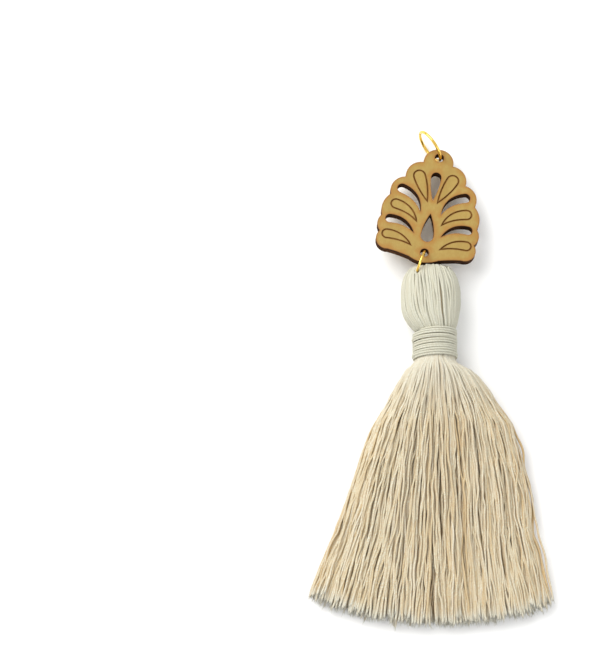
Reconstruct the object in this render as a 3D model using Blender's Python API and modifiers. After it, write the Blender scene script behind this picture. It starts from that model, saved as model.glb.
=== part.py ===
"""A cotton tassel that hangs from a laser-cut wooden charm, lying on its back.

Metres, +Z up. The skirt of yarn points to -Y and the hanging ring to +Y. Lengths along
the tassel are measured from the lower edge of the neck winding, and the whole model is
then set with the middle of its footprint on the origin.
"""
import math

import bmesh
import bpy
from mathutils import Matrix, Vector

MM = 0.001
GAP = 0.35 * MM            # clearance left around a piece that passes through another
COLLECTION = "tassel"

# Neck winding
AXIS_HEIGHT = 7.8 * MM     # middle of the head and neck above the surface
WRAP_RADIUS = 7.3 * MM
WRAP_LENGTH = 10.0 * MM
WRAP_TURNS = 10
WRAP_SLANT = math.radians(4.0)
YARN_RADIUS = WRAP_LENGTH / WRAP_TURNS / 2
WRAP_THICKNESS = 1.0 * MM
WRAP_STEPS = 40

# Yarn bundle: neck, rounded head and fanned skirt
NECK_RADIUS = 5.6 * MM
NECK_OVERHANG = 0.45 * MM  # how far the narrow neck shows past each end of the winding
HEAD_WIDE_AT = 21.2 * MM   # distance of the head's widest place from the skirt
HEAD_DOME = 11.4 * MM      # from the widest place to the top of the dome
HEAD_HALF_WIDTH = 9.8 * MM
HEAD_SHIFT = -1.2 * MM     # the head sits a little to the left of the neck
DOME_PLAN_POWER = 2.5
DOME_SIDE_POWER = 2.1
DOME_STEPS = 8
SKIRT_LENGTH = 82.0 * MM

# (distance from the winding's lower edge, reach to the left, reach to the right,
#  highest point, lowest point, power of the section's curve), all lengths in mm
SKIRT_ROWS = (
    (0.9, 7.1, 7.9, 15.0, 0.9, 2.0),
    (3.0, 9.4, 11.6, 15.3, 0.4, 2.0),
    (5.5, 10.9, 14.4, 15.2, 0.1, 2.0),
    (9.0, 12.6, 17.0, 14.7, 0.0, 2.1),
    (13.0, 14.6, 19.4, 13.9, 0.0, 2.1),
    (20.0, 18.5, 24.2, 12.4, 0.0, 2.2),
    (30.0, 22.6, 27.0, 10.5, 0.0, 2.3),
    (42.0, 26.9, 29.6, 8.8, 0.0, 2.4),
    (55.0, 30.8, 30.7, 7.5, 0.0, 2.5),
    (66.0, 35.3, 33.2, 6.5, 0.0, 2.6),
    (82.0, 40.6, 36.9, 5.2, 0.0, 2.8),
)
# (distance from the winding's lower edge, half width, half height), mm
HEAD_ROWS = (
    (10.9, 6.9, 6.7),
    (11.6, 7.9, 7.3),
    (12.8, 8.5, 7.5),
    (15.4, 9.35, 7.7),
    (17.8, 9.75, 7.8),
    (21.2, 9.8, 7.8),
)
# Locks of yarn across the skirt from left to right:
# (share of the way across, length as a share of the skirt's, depth of the notch after it)
LOCKS = (
    (0.115, 0.905, 0.10),
    (0.085, 0.925, 0.06),
    (0.070, 0.960, 0.13),
    (0.095, 0.975, 0.05),
    (0.080, 1.000, 0.10),
    (0.065, 0.985, 0.07),
    (0.100, 1.000, 0.14),
    (0.075, 0.990, 0.06),
    (0.060, 0.965, 0.11),
    (0.085, 0.975, 0.07),
    (0.075, 0.945, 0.12),
    (0.095, 0.915, 0.00),
)
LOCK_EDGE = 0.012          # half width of the furrow between two locks, share of the way across
END_CROWDING = 0.55        # how far the section's points crowd towards its rounded ends
FURROW_DEPTH = 0.26        # furrow's depth at the tips, as a share of the height there
FLAT_SINK = 0.6 * MM       # how far the section is lowered before its underside is made flat

# Wooden charm, in its own plane: u to the right, v towards the hanging ring, mm
CHARM_THICKNESS = 3.0 * MM
HOLE_SPACING = 34.0
LINK_HOLE_RADIUS = 1.4
HANG_HOLE_RADIUS = 1.5
# Right half of the outline from the lower tip to the top: arcs through (end, middle, end)
OUTLINE_ENDS = (
    (0.0, -3.5), (4.7, -2.1), (11.9, -0.7), (15.4, 5.2), (15.6, 10.8),
    (13.85, 18.6), (9.9, 25.5), (4.9, 31.7), (0.0, 37.0),
)
OUTLINE_MIDDLES = (
    (2.3, -3.1), (8.0, -1.3), (15.7, 0.9), (16.6, 7.9), (15.9, 14.9),
    (13.5, 23.0), (8.7, 29.9), (3.6, 35.5),
)
ARC_STEPS = 10
# Petals of the right half and the middle: (tip u, v), (round end u, v), radius, bow
CUT_PETALS = (
    ((0.0, 18.6), (0.0, 27.0), 1.65, 0.0),
    ((0.0, 13.8), (0.0, 5.9), 2.05, 0.0),
    ((3.4, 14.0), (10.4, 21.2), 1.6, 1.5),
    ((4.4, 6.2), (12.8, 10.0), 1.45, 1.3),
)
ENGRAVED_PETALS = (
    ((1.7, 18.0), (5.5, 26.6), 1.9, 0.0),
    ((4.1, 10.4), (11.6, 15.4), 1.6, 1.0),
    ((4.8, 1.9), (13.0, 4.5), 1.5, 0.8),
)
PETAL_STEPS = 10
PETAL_CAP_STEPS = 10
ENGRAVING_WIDTH = 0.5
ENGRAVING_DEPTH = 0.35 * MM

# Where the charm lies: its lower hole, its lean in plan and its slope down to the far end
LINK_HOLE_AT = Vector((-3.3 * MM, 34.9 * MM, 8.6 * MM))
CHARM_LEAN = math.radians(9.1)
CHARM_SLOPE = math.radians(6.5)
# The charm folds up about the link ring until it meets the yarn; room is cut for each
CHARM_FOLDS = tuple(math.radians(angle) for angle in (0.0, 10.0, 20.0, 30.0, 40.0))

# Jump rings
LINK_RADIUS = 4.1 * MM     # middle of the wire
LINK_WIRE = 0.4 * MM
LINK_RISE = math.radians(12.0)      # out of the charm's plane, towards the head
LINK_TURN = math.radians(20.0)      # in plan, from the tassel's axis
LINK_IN_HOLE = 0.3 * MM    # the wire lies this far from the hole's middle
LINK_STEPS = 36
HANG_RADIUS = 5.5 * MM
HANG_WIRE = 0.5 * MM
HANG_TURN = math.radians(35.0)
HANG_RISE = math.radians(14.0)
HANG_LEAN = math.radians(4.0)
HANG_IN_HOLE = -0.26 * MM  # the slanting wire crosses this far before the hole's middle
HANG_STEPS = 48
RING_SPLIT = 0.12 * MM     # the butt joint of a jump ring

COTTON = (0.80, 0.77, 0.66)
WINDING = (0.79, 0.78, 0.69)
PLYWOOD = (0.66, 0.43, 0.17)
GOLD = (0.83, 0.60, 0.20)


def clear_scene():
    for item in list(bpy.data.objects):
        bpy.data.objects.remove(item, do_unlink=True)


def material(name, color, roughness, metallic=0.0):
    made = bpy.data.materials.new(name)
    made.use_nodes = True
    shader = made.node_tree.nodes["Principled BSDF"]
    shader.inputs["Base Color"].default_value = (*color, 1.0)
    shader.inputs["Roughness"].default_value = roughness
    shader.inputs["Metallic"].default_value = metallic
    return made


def collection(name):
    made = bpy.data.collections.new(name)
    bpy.context.scene.collection.children.link(made)
    return made


def add_object(name, data, group, finish=None):
    made = bpy.data.objects.new(name, data)
    group.objects.link(made)
    if finish:
        data.materials.append(finish)
    return made


def mesh_from_bmesh(name, shape):
    bmesh.ops.recalc_face_normals(shape, faces=shape.faces)
    mesh = bpy.data.meshes.new(name)
    shape.to_mesh(mesh)
    shape.free()
    return mesh


def mesh_from_curve(curve_object):
    """Return the curve's surface as one closed mesh, with its caps welded on."""
    bpy.context.view_layer.update()
    graph = bpy.context.evaluated_depsgraph_get()
    mesh = bpy.data.meshes.new_from_object(curve_object.evaluated_get(graph))
    shape = bmesh.new()
    shape.from_mesh(mesh)
    bmesh.ops.remove_doubles(shape, verts=shape.verts, dist=0.001 * MM)
    bmesh.ops.recalc_face_normals(shape, faces=shape.faces)
    shape.to_mesh(mesh)
    shape.free()
    return mesh


def curve_to_mesh_object(curve_object, group):
    mesh = mesh_from_curve(curve_object)
    made = add_object(curve_object.name + "_solid", mesh, group)
    made.matrix_world = curve_object.matrix_world
    bpy.data.objects.remove(curve_object, do_unlink=True)
    return made


def cut(target, cutter):
    """Take cutter out of target."""
    modifier = target.modifiers.new("cut_" + cutter.name, "BOOLEAN")
    modifier.operation = "DIFFERENCE"
    modifier.object = cutter
    cutter.hide_render = True
    cutter.display_type = "WIRE"


# ---------------------------------------------------------------- rings

def ring_curve(name, radius, wire, steps, group, finish=None):
    """A jump ring in its own XY plane, its butt joint at +X."""
    curve = bpy.data.curves.new(name, "CURVE")
    curve.dimensions = "3D"
    curve.bevel_depth = wire
    curve.bevel_resolution = 2
    curve.use_fill_caps = True
    curve.render_resolution_u = 0
    spline = curve.splines.new("POLY")
    spline.points.add(steps)
    half_split = RING_SPLIT / 2 / radius
    for index, point in enumerate(spline.points):
        angle = half_split + (2 * math.pi - 2 * half_split) * index / steps
        point.co = (radius * math.cos(angle), radius * math.sin(angle), 0.0, 1.0)
    return add_object(name, curve, group, finish)


def ring_matrix(through, towards, up, radius):
    """Place a ring whose wire passes `through` and whose middle lies `towards`."""
    across = towards.normalized()
    side = across.cross(up).normalized()
    upward = side.cross(across)
    turn = Matrix((across, upward, side)).transposed().to_4x4()
    return Matrix.Translation(through + across * radius) @ turn


def horizontal(turn, rise):
    """Unit vector at `turn` to the right of +Y and `rise` above the horizontal."""
    level = math.cos(rise)
    return Vector((math.sin(turn) * level, math.cos(turn) * level, math.sin(rise)))


# ---------------------------------------------------------------- charm

def charm_matrix():
    across = Vector((math.cos(CHARM_LEAN), -math.sin(CHARM_LEAN), 0.0))
    along = horizontal(CHARM_LEAN, -CHARM_SLOPE)
    normal = across.cross(along)
    turn = Matrix((across, along, normal)).transposed().to_4x4()
    return Matrix.Translation(LINK_HOLE_AT) @ turn


def arc(start, middle, end, steps):
    """Points of the circular arc from start through middle, without its end."""
    ax, ay = start
    bx, by = middle
    cx, cy = end
    d = 2 * (ax * (by - cy) + bx * (cy - ay) + cx * (ay - by))
    a2 = ax * ax + ay * ay
    b2 = bx * bx + by * by
    c2 = cx * cx + cy * cy
    ox = (a2 * (by - cy) + b2 * (cy - ay) + c2 * (ay - by)) / d
    oy = (a2 * (cx - bx) + b2 * (ax - cx) + c2 * (bx - ax)) / d
    radius = math.hypot(ax - ox, ay - oy)
    first = math.atan2(ay - oy, ax - ox)
    sweep = math.atan2(cy - oy, cx - ox) - first
    if d > 0:
        sweep %= 2 * math.pi
    else:
        sweep = -((-sweep) % (2 * math.pi))
    angles = [first + sweep * step / steps for step in range(steps)]
    return [(ox + radius * math.cos(a), oy + radius * math.sin(a)) for a in angles]


def charm_outline():
    right = []
    for index, middle in enumerate(OUTLINE_MIDDLES):
        right += arc(OUTLINE_ENDS[index], middle, OUTLINE_ENDS[index + 1], ARC_STEPS)
    right.append(OUTLINE_ENDS[-1])
    left = [(-u, v) for u, v in reversed(right[1:-1])]
    return right + left


def circle(v, radius, steps=28):
    angles = [2 * math.pi * step / steps for step in range(steps)]
    return [(radius * math.cos(a), v + radius * math.sin(a)) for a in angles]


def petal(tip, end, radius, bow, grow=0.0):
    """A drop from a pointed tip to a round end, its middle line bowed upwards."""
    tip, end = Vector(tip), Vector(end)
    chord = end - tip
    side = Vector((-chord.y, chord.x)).normalized()
    if side.y < 0:
        side = -side
    control = (tip + end) / 2 + side * bow * 2
    near, far = [], []
    for step in range(1, PETAL_STEPS + 1):
        t = step / PETAL_STEPS
        point = (1 - t) ** 2 * tip + 2 * t * (1 - t) * control + t * t * end
        slope = (2 * (1 - t) * (control - tip) + 2 * t * (end - control)).normalized()
        normal = Vector((-slope.y, slope.x))
        half = radius * math.sin(t * math.pi / 2) ** 0.9 + grow
        near.append(point - normal * half)
        far.append(point + normal * half)
    cap = []
    for step in range(1, PETAL_CAP_STEPS):
        angle = -math.pi / 2 + math.pi * step / PETAL_CAP_STEPS
        reach = radius + grow
        cap.append(end + slope * math.cos(angle) * reach + normal * math.sin(angle) * reach)
    first = (end - tip).normalized() if bow == 0 else (control - tip).normalized()
    start = tip - first * grow * 2
    points = [start] + near + cap + list(reversed(far))
    return [(point.x, point.y) for point in points]


def mirrored(petals):
    for tip, end, radius, bow in petals:
        yield tip, end, radius, bow
        if end[0] > 0:
            yield (-tip[0], tip[1]), (-end[0], end[1]), radius, bow


def flat_curve(name, outlines, thickness, group):
    """A flat sheet of the given outlines, those inside another being holes."""
    curve = bpy.data.curves.new(name, "CURVE")
    curve.dimensions = "2D"
    curve.fill_mode = "BOTH"
    curve.extrude = thickness / 2
    curve.render_resolution_u = 0
    for outline in outlines:
        spline = curve.splines.new("POLY")
        spline.points.add(len(outline) - 1)
        spline.use_cyclic_u = True
        for point, (u, v) in zip(spline.points, outline):
            point.co = (u * MM, v * MM, 0.0, 1.0)
    return add_object(name, curve, group)


def make_charm(parts, cutters):
    outlines = [charm_outline(), circle(0.0, LINK_HOLE_RADIUS), circle(HOLE_SPACING, HANG_HOLE_RADIUS)]
    outlines += [petal(*row) for row in mirrored(CUT_PETALS)]
    plate = flat_curve("charm_plate", outlines, CHARM_THICKNESS, parts)
    charm = curve_to_mesh_object(plate, parts)
    charm.name = "wood_charm"
    charm.data.materials.append(material("laser_cut_plywood", PLYWOOD, 0.65))
    lines = []
    for tip, end, radius, bow in mirrored(ENGRAVED_PETALS):
        lines.append(petal(tip, end, radius, bow, ENGRAVING_WIDTH / 2))
        lines.append(petal(tip, end, radius, bow, -ENGRAVING_WIDTH / 2))
    groove = flat_curve("charm_engraving", lines, 2 * ENGRAVING_DEPTH, cutters)
    groove = curve_to_mesh_object(groove, cutters)
    groove.matrix_world = Matrix.Translation((0.0, 0.0, CHARM_THICKNESS / 2))
    cut(charm, groove)
    for item in (charm, groove):
        item.matrix_world = charm_matrix() @ item.matrix_world
    return charm


# ---------------------------------------------------------------- yarn

def between(rows, distance):
    """Linear interpolation in a table whose first column is the distance in mm."""
    distance = distance / MM
    if distance <= rows[0][0]:
        return [value * MM for value in rows[0][1:]]
    for low, high in zip(rows, rows[1:]):
        if distance <= high[0]:
            share = (distance - low[0]) / (high[0] - low[0])
            return [(a + (b - a) * share) * MM for a, b in zip(low[1:], high[1:])]
    return [value * MM for value in rows[-1][1:]]


def yarn_columns():
    """Where each lengthwise line of the bundle lies: (place 0..1, end, furrow 0 or 1)."""
    total = sum(row[0] for row in LOCKS)
    columns = [(0.0, LOCKS[0][1] - 0.02, 0.0)]
    start = 0.0
    for index, (share, length, notch) in enumerate(LOCKS):
        width = share / total
        stop = start + width
        columns.append((start + LOCK_EDGE, length, 0.0))
        columns.append((start + width / 2, length + 0.012 * (-1) ** index, 0.0))
        columns.append((stop - LOCK_EDGE, length - 0.006, 0.0))
        last = index == len(LOCKS) - 1
        columns.append((stop, length - notch - 0.02 * last, 0.0 if last else 1.0))
        start = stop
    return columns


def section_point(place, reach, up, down, power, upper):
    """A point of a rounded section: place 0 is its left end and 1 its right end."""
    even = 2 * place - 1
    crowded = -math.cos(math.pi * place)
    flat = max(-1.0, min(1.0, even + (crowded - even) * END_CROWDING))
    left, right = reach
    x = flat * (left if flat < 0 else right)
    z = (1 - abs(flat) ** power) ** (1 / power)
    return x, z * up if upper else -z * down


def slanted(point, distance):
    """Shear the neck so that both its ends follow the slant of the winding."""
    fade = 8.0 * MM
    beyond = max(0.0, distance - WRAP_LENGTH, -distance)
    share = max(0.0, 1.0 - beyond / fade)
    return point + Vector((0.0, point.x * math.tan(WRAP_SLANT) * share, 0.0))


def skirt_ring(share, columns):
    """One ring of the skirt at `share` of the way from the winding to the tips."""
    top, under = [], []
    for place, end, furrow in columns:
        distance = max(share * end * SKIRT_LENGTH, SKIRT_ROWS[0][0] * MM)
        left, right, high, low, power = between(SKIRT_ROWS, distance)
        power /= MM
        middle = low + (high - low) * 0.45
        drop = 1.0 - FURROW_DEPTH * furrow * share
        sink = FLAT_SINK * min(1.0, share * 8)
        x, z = section_point(place, (left, right), high - middle, 0.0, power, True)
        top.append(slanted(Vector((x, -distance, middle + z * drop)), -distance))
        x, z = section_point(place, (left, right), 0.0, middle - low + sink, power + 1.2, False)
        under.append(slanted(Vector((x, -distance, max(0.0, middle + z))), -distance))
    return top + under[-2:0:-1]


def round_ring(distance, half_width, half_height, shift, columns):
    """One ring of the neck or the head."""
    top, under = [], []
    for place, _end, _furrow in columns:
        reach = (half_width, half_width)
        for points, upper in ((top, True), (under, False)):
            x, z = section_point(place, reach, half_height, half_height, 2.0, upper)
            flat = Vector((x + shift, distance, max(0.0, AXIS_HEIGHT + z)))
            points.append(slanted(flat, distance))
    return top + under[-2:0:-1]


def bundle_rings(columns):
    shares = [row[0] * MM / SKIRT_LENGTH for row in SKIRT_ROWS]
    rings = [skirt_ring(share, columns) for share in reversed(shares)]
    for distance in (-NECK_OVERHANG, WRAP_LENGTH + NECK_OVERHANG):
        rings.append(round_ring(distance, NECK_RADIUS, NECK_RADIUS, 0.0, columns))
    for distance, half_width, half_height in HEAD_ROWS:
        shift = HEAD_SHIFT * min(1.0, (distance * MM - WRAP_LENGTH) / (4 * MM))
        rings.append(round_ring(distance * MM, half_width * MM, half_height * MM, shift, columns))
    for step in range(1, DOME_STEPS):
        rise = math.sin(math.pi / 2 * step / DOME_STEPS)
        width = HEAD_HALF_WIDTH * (1 - rise ** DOME_PLAN_POWER) ** (1 / DOME_PLAN_POWER)
        height = AXIS_HEIGHT * (1 - rise ** DOME_SIDE_POWER) ** (1 / DOME_SIDE_POWER)
        distance = HEAD_WIDE_AT + HEAD_DOME * rise
        rings.append(round_ring(distance, width, height, HEAD_SHIFT, columns))
    return rings


def bundle_mesh():
    """Loft the bundle from the skirt's tips over the neck to the top of the head."""
    columns = yarn_columns()
    shape = bmesh.new()
    rings = [[shape.verts.new(point) for point in ring] for ring in bundle_rings(columns)]
    around = len(rings[0])
    for lower, upper in zip(rings, rings[1:]):
        for index in range(around):
            after = (index + 1) % around
            shape.faces.new((lower[index], lower[after], upper[after], upper[index]))
    tips = rings[0]
    last = len(columns) - 1
    for index in range(last):
        corners = [tips[index], tips[index + 1], tips[-index - 1], tips[-index]]
        if index == 0:
            corners = [tips[0], tips[1], tips[-1]]
        if index == last - 1:
            corners = [tips[index], tips[index + 1], tips[-index]]
        shape.faces.new(corners)
    top = shape.verts.new((HEAD_SHIFT, HEAD_WIDE_AT + HEAD_DOME, AXIS_HEIGHT))
    for index in range(around):
        shape.faces.new((rings[-1][index], rings[-1][(index + 1) % around], top))
    return mesh_from_bmesh("yarn_bundle", shape)


def make_bundle(parts, cutters, link_place):
    bundle = add_object("yarn_bundle", bundle_mesh(), parts, material("cotton_yarn", COTTON, 0.9))
    tunnel = ring_cutter(link_place, cutters)
    cut(bundle, tunnel)
    hinge = link_place.translation
    for fold in CHARM_FOLDS:
        turn = Matrix.Rotation(fold, 4, charm_matrix().to_3x3() @ Vector((1.0, 0.0, 0.0)))
        swing = Matrix.Translation(hinge) @ turn @ Matrix.Translation(-hinge)
        slot = slot_cutter(cutters)
        slot.matrix_world = swing @ charm_matrix()
        cut(bundle, slot)
    return bundle


def ring_cutter(place, cutters):
    bpy.ops.mesh.primitive_torus_add(
        major_radius=LINK_RADIUS, minor_radius=LINK_WIRE + GAP,
        major_segments=LINK_STEPS, minor_segments=10)
    tunnel = bpy.context.object
    tunnel.name = "link_tunnel"
    move_to(tunnel, cutters)
    tunnel.matrix_world = place
    return tunnel


def slot_cutter(cutters):
    """The room that the charm's lower end takes in the top of the head."""
    shape = bmesh.new()
    bmesh.ops.create_cube(shape, size=1.0)
    low = Vector((-8.0 * MM, -4.35 * MM, -CHARM_THICKNESS / 2 - GAP))
    high = Vector((8.0 * MM, 2.0 * MM, CHARM_THICKNESS / 2 + GAP))
    for vert in shape.verts:
        for axis in range(3):
            vert.co[axis] = high[axis] if vert.co[axis] > 0 else low[axis]
    return add_object("tip_slot", mesh_from_bmesh("tip_slot", shape), cutters)


def move_to(item, group):
    for owner in list(item.users_collection):
        owner.objects.unlink(item)
    group.objects.link(item)


# ---------------------------------------------------------------- winding

def make_wrap(parts):
    """The neck winding: a turned sleeve with one ridge a turn, closed on itself."""
    shape = bmesh.new()
    outer = []
    steps = 3
    for turn in range(WRAP_TURNS):
        for step in range(steps):
            along = WRAP_LENGTH - (turn + step / steps) * 2 * YARN_RADIUS
            swell = 0.35 * YARN_RADIUS * math.sin(math.pi * step / steps)
            outer.append((WRAP_RADIUS - 0.3 * YARN_RADIUS + swell, along))
    outer.append((WRAP_RADIUS - 0.3 * YARN_RADIUS, 0.0))
    inner = WRAP_RADIUS - WRAP_THICKNESS
    profile = outer + [(inner, 0.0), (inner, WRAP_LENGTH)]
    verts = [shape.verts.new((radius, 0.0, along)) for radius, along in profile]
    for index, vert in enumerate(verts):
        shape.edges.new((vert, verts[(index + 1) % len(verts)]))
    mesh = bpy.data.meshes.new("neck_wrap")
    shape.to_mesh(mesh)
    shape.free()
    wrap = add_object("neck_wrap", mesh, parts, material("cotton_winding", WINDING, 0.9))
    screw = wrap.modifiers.new("turned", "SCREW")
    screw.steps = WRAP_STEPS
    screw.render_steps = WRAP_STEPS
    screw.use_merge_vertices = True
    screw.merge_threshold = 0.01 * MM
    lay_down = Matrix.Rotation(-math.pi / 2, 4, "X")
    slant = Matrix.Translation((0.0, WRAP_LENGTH / 2, 0.0))
    slant = slant @ Matrix.Rotation(WRAP_SLANT, 4, "Z")
    slant = slant @ Matrix.Translation((0.0, -WRAP_LENGTH / 2, 0.0))
    wrap.matrix_world = Matrix.Translation((0.0, 0.0, AXIS_HEIGHT)) @ slant @ lay_down
    return wrap


# ---------------------------------------------------------------- whole

def link_ring_place():
    charm = charm_matrix()
    through = charm @ Vector((0.0, LINK_IN_HOLE, 0.0))
    towards = horizontal(LINK_TURN, -CHARM_SLOPE)
    towards = -towards
    up = charm.to_3x3() @ Vector((0.0, 0.0, 1.0))
    towards = (towards * math.cos(LINK_RISE) + up * math.sin(LINK_RISE)).normalized()
    return ring_matrix(through, towards, up, LINK_RADIUS)


def hanging_ring_place():
    towards = horizontal(-HANG_TURN, HANG_RISE)
    through = charm_matrix() @ Vector((0.0, HOLE_SPACING * MM, 0.0)) + towards * HANG_IN_HOLE
    level = Vector((math.cos(HANG_TURN), math.sin(HANG_TURN), 0.0))
    up = Vector((0.0, 0.0, 1.0)) * math.cos(HANG_LEAN) + level * math.sin(HANG_LEAN)
    return ring_matrix(through, towards, up, HANG_RADIUS)


def stand_on_origin(parts):
    """The shift that brings the middle of the parts' footprint to the origin, lowest point at zero."""
    bpy.context.view_layer.update()
    graph = bpy.context.evaluated_depsgraph_get()
    low = Vector((math.inf,) * 3)
    high = Vector((-math.inf,) * 3)
    for item in parts.objects:
        shown = item.evaluated_get(graph)
        mesh = shown.to_mesh()
        for vert in mesh.vertices:
            place = shown.matrix_world @ vert.co
            low = Vector(map(min, low, place))
            high = Vector(map(max, high, place))
        shown.to_mesh_clear()
    middle = (low + high) / 2
    return Vector((-middle.x, -middle.y, -low.z))


def main():
    clear_scene()
    parts = collection(COLLECTION)
    cutters = collection("cutters")
    make_charm(parts, cutters)
    link_place = link_ring_place()
    gold = material("gold_plated_wire", GOLD, 0.25, 1.0)
    link = ring_curve("link_ring", LINK_RADIUS, LINK_WIRE, LINK_STEPS, parts, gold)
    link.matrix_world = link_place
    ring = ring_curve("hanging_ring", HANG_RADIUS, HANG_WIRE, HANG_STEPS, parts, gold)
    ring.matrix_world = hanging_ring_place()
    make_bundle(parts, cutters, link_place)
    make_wrap(parts)
    shift = stand_on_origin(parts)
    base = bpy.data.objects.new("tassel_base", None)
    parts.objects.link(base)
    for item in list(parts.objects) + list(cutters.objects):
        if item is not base:
            item.parent = base
    base.location = shift


main()
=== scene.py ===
"""Looks of the cotton tassel: yarn, winding, laser-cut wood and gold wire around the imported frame.

Metres, +Z up. Lengths in the constants, the tables and the meshes' attributes are in millimetres,
but the camera's and the lights' are in metres. The tassel's own frame has its origin on the
surface below the winding's lower edge, x to the right and y towards the hanging ring.
"""
import math

import bmesh
import bpy
import numpy as np
from mathutils import Matrix, Vector
from mathutils.bvhtree import BVHTree
from mathutils.geometry import delaunay_2d_cdt
from mathutils.kdtree import KDTree


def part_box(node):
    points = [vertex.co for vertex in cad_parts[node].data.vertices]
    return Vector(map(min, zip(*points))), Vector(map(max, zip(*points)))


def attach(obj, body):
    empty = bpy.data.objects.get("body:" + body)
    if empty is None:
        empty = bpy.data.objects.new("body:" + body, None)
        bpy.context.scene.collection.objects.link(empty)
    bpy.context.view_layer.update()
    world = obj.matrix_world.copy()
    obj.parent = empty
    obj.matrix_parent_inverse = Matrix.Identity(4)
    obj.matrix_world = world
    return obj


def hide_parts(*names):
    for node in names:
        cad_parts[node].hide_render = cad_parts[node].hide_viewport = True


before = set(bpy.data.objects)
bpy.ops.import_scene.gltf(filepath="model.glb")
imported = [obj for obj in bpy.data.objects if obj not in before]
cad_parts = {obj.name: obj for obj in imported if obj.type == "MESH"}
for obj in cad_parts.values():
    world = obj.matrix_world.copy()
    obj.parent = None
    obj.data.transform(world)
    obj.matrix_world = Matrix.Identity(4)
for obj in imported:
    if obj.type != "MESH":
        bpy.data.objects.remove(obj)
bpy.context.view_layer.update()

MM = 0.001
TASSEL = "tassel"
CHARM = "charm"

wrap_low, wrap_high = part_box("neck_wrap")
WRAP_LENGTH = 10.0
# Origin of the tassel's own frame, in metres, and the height of its neck's middle
BASE = Vector(((wrap_low.x + wrap_high.x) / 2, (wrap_low.y + wrap_high.y) / 2, 0.0))
BASE.y -= WRAP_LENGTH / 2 * MM
AXIS_HEIGHT = (wrap_low.z + wrap_high.z) / 2 / MM

# Yarn: radius of one end, length of a turn of its plies, their number, sides of its mesh
YARN = 0.375
PLY_PITCH = 1.5
PLIES = 2
YARN_SIDES = 6
# The last rings of its cut tip: their distance from the tip and share of the radius
TAPER_AT = (0.9, 0.35, 0.0)
TAPER = (1.0, 0.85, 0.45)
TAPER_RINGS = len(TAPER)
# Loose fibres at a tip: fewest and one more than the most, shortest and longest, radii along one
FRAYS = (3, 7)
FRAY_LENGTHS = (0.7, 1.9)
FRAY_RADII = (0.10, 0.085, 0.06, 0.02)

# Skirt: its start inside the winding, its length, the neck's radius inside the winding
SKIRT_START = -5.0
SKIRT_LENGTH = 81.4
NECK_RADIUS = 6.3
# How far an end may lie to the left and right, as a share of the skirt's reach, and how much the
# ends crowd towards its edges
SPOT_LIMITS = (-1.03, 1.04)
EDGE_CROWDING = 0.55
# The uneven locks that its tips form
LOCKS = 26
LOCK_WIDTHS = (0.5, 1.6)
# Skirt's layers: name, ends, lowest level, highest level, points along an end
SKIRT_LAYERS = (
    ("skirt_under", 160, 0.00, 0.34, 40),
    ("skirt_middle", 210, 0.30, 0.72, 56),
    ("skirt_lower_top", 200, 0.66, 0.90, 78),
    ("skirt_top", 208, 0.82, 1.00, 78),
)
# How an end strays across the skirt and up or down: step between its bends, their size
SWAY = ((17.0, 0.50), (6.5, 0.26), (2.7, 0.10))
LIFT = ((15.0, 0.34), (5.5, 0.16))
# Skirt's envelope: distance from the winding, reach left, reach right, top, bottom, power
SKIRT_ROWS = np.array((
    (0.0, 6.5, 6.8, 14.3, 1.3, 2.0),
    (0.9, 7.3, 8.2, 15.0, 0.9, 2.0),
    (3.0, 9.2, 11.4, 15.3, 0.4, 2.0),
    (5.5, 10.7, 14.2, 15.2, 0.1, 2.0),
    (9.0, 12.4, 16.8, 14.7, 0.0, 2.1),
    (13.0, 14.4, 19.2, 13.9, 0.0, 2.1),
    (20.0, 18.5, 24.2, 12.4, 0.0, 2.2),
    (30.0, 22.6, 27.0, 10.5, 0.0, 2.3),
    (42.0, 26.9, 29.6, 8.8, 0.0, 2.4),
    (55.0, 30.8, 30.7, 7.5, 0.0, 2.5),
    (66.0, 35.3, 33.2, 6.5, 0.0, 2.6),
    (82.0, 40.6, 36.9, 5.2, 0.0, 2.8),
))

# Head: distance from the winding's lower edge, half width, half height
HEAD_ROWS = np.array((
    (8.5, 5.6, 5.6),
    (10.2, 6.8, 6.7),
    (11.4, 7.7, 7.2),
    (12.8, 8.5, 7.5),
    (15.4, 9.35, 7.7),
    (17.8, 9.75, 7.8),
    (21.2, 9.8, 7.8),
))
HEAD_START = 8.7                         # where its loops come out of the winding
HEAD_WIDE_AT = 21.2
HEAD_DOME = 11.4                         # from the widest place to the top
HEAD_SHIFT = -1.2                        # the head sits to the left of the neck
HEAD_FREE = 13.0                         # loops keep inside the frame's solid from here on
DOME_PLAN_POWER = 2.5
DOME_SIDE_POWER = 2.1
# Head's layers: name, loops, depth below the envelope, yarn's radius, share of painted shade
HEAD_LAYERS = (
    ("head_yarn", 54, 0.42, 0.40, 0.0),
    ("head_yarn_under", 40, 0.95, 0.42, 0.12),
)

# What fills the inside: distance from the winding towards the skirt's tips, inset
CORE_INSETS = np.array((
    (-12.0, 1.15),
    (-9.0, 1.2),
    (2.0, 2.4),
    (20.0, 2.4),
    (80.0, 1.9),
))
# Its skirt is shorter by a share of the distance, and narrower by a share for each mm of it
CORE_SHORTER = 0.12
CORE_NARROWER = 0.0009
# Its head, from this far up, is scaled about its middle and cut off below its top
CORE_HEAD_FROM = 13.5
CORE_HEAD_MIDDLE = 18.0
CORE_HEAD_SCALE = 0.85
CORE_HEAD_TOP = 27.0

WRAP_RADIUS = 7.3
WRAP_YARN = 0.385
WRAP_TURNS = 11.6
WRAP_SINK = 0.15                         # the yarn's depth below the winding's envelope
WRAP_SLANT = 4.0                         # degrees
# Turns over the others: distance at its start and end, turns at its start and end, lift
WRAP_CROSSINGS = (
    (1.0, 2.3, -0.10, 0.95, 0.26),
    (6.2, 7.4, 0.02, 0.60, 0.24),
)
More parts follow.
